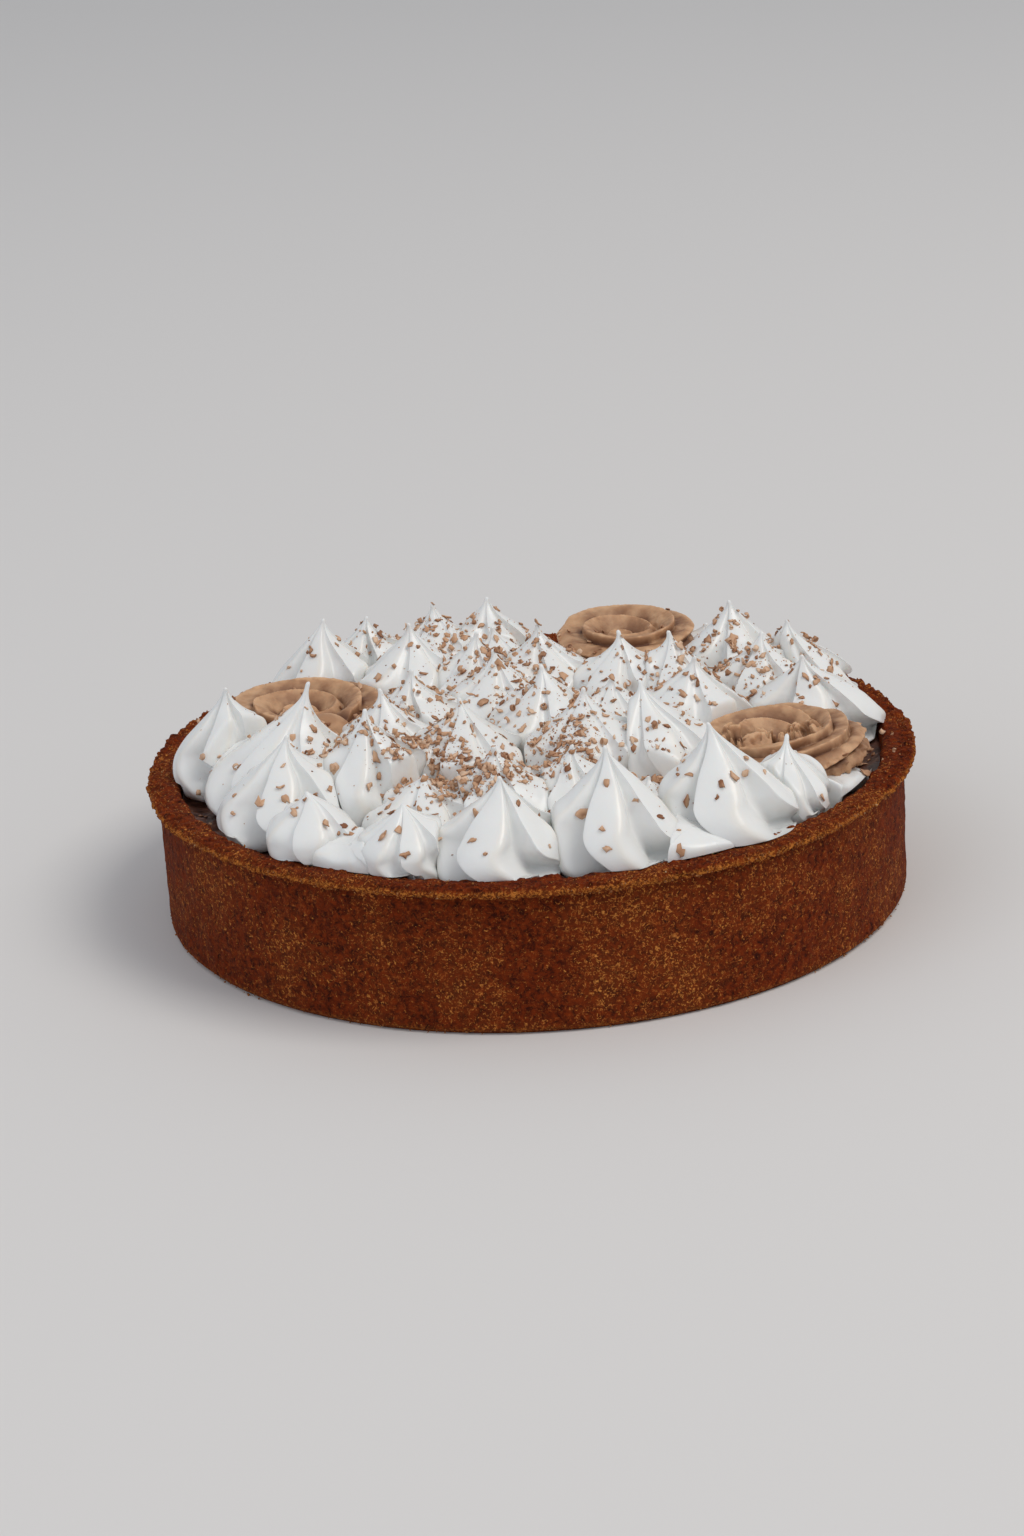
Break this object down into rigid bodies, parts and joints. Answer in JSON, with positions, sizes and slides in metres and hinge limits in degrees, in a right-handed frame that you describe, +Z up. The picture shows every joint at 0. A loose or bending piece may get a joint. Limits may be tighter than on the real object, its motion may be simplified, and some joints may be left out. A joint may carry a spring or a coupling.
{
  "type": "chocolate hazelnut tart",
  "caption": "Round chocolate tart in a deep shortcrust case, piped with white meringue kisses and hazelnut cream rosettes, scattered with chocolate shavings.",
  "frame": {"origin": "middle of the flat base, on the surface that the tart stands on", "axes": "+Z up out of the top, -Y towards the side the picture shows, +X to its right"},
  "size_m": [0.1964, 0.1966, 0.0645],
  "materials": {
    "pastry": "matte, sandy",
    "filling": "satin",
    "meringue": "satin",
    "hazelnut_cream": "matte"
  },
  "bodies": {
    "root": {"crust": "pastry", "filling": "filling", "kiss_01": "meringue", "kiss_02": "meringue", "kiss_03": "meringue", "kiss_04": "meringue", "kiss_05": "meringue", "kiss_06": "meringue", "kiss_07": "meringue", "kiss_08": "meringue", "kiss_09": "meringue", "kiss_10": "meringue", "kiss_11": "meringue", "kiss_12": "meringue", "kiss_13": "meringue", "kiss_14": "meringue", "kiss_15": "meringue", "kiss_16": "meringue", "kiss_17": "meringue", "kiss_18": "meringue", "kiss_19": "meringue", "kiss_20": "meringue", "kiss_21": "meringue", "kiss_22": "meringue", "kiss_23": "meringue", "kiss_24": "meringue", "kiss_25": "meringue", "kiss_26": "meringue", "kiss_27": "meringue", "kiss_28": "meringue", "kiss_29": "meringue", "kiss_30": "meringue", "kiss_31": "meringue", "kiss_32": "meringue", "kiss_33": "meringue", "kiss_34": "meringue", "kiss_35": "meringue", "kiss_36": "meringue", "kiss_37": "meringue", "kiss_38": "meringue", "kiss_39": "meringue", "kiss_40": "meringue", "kiss_41": "meringue", "kiss_42": "meringue", "rosette_back": "hazelnut_cream", "rosette_left": "hazelnut_cream", "rosette_right": "hazelnut_cream"}
  },
  "joints": []
}
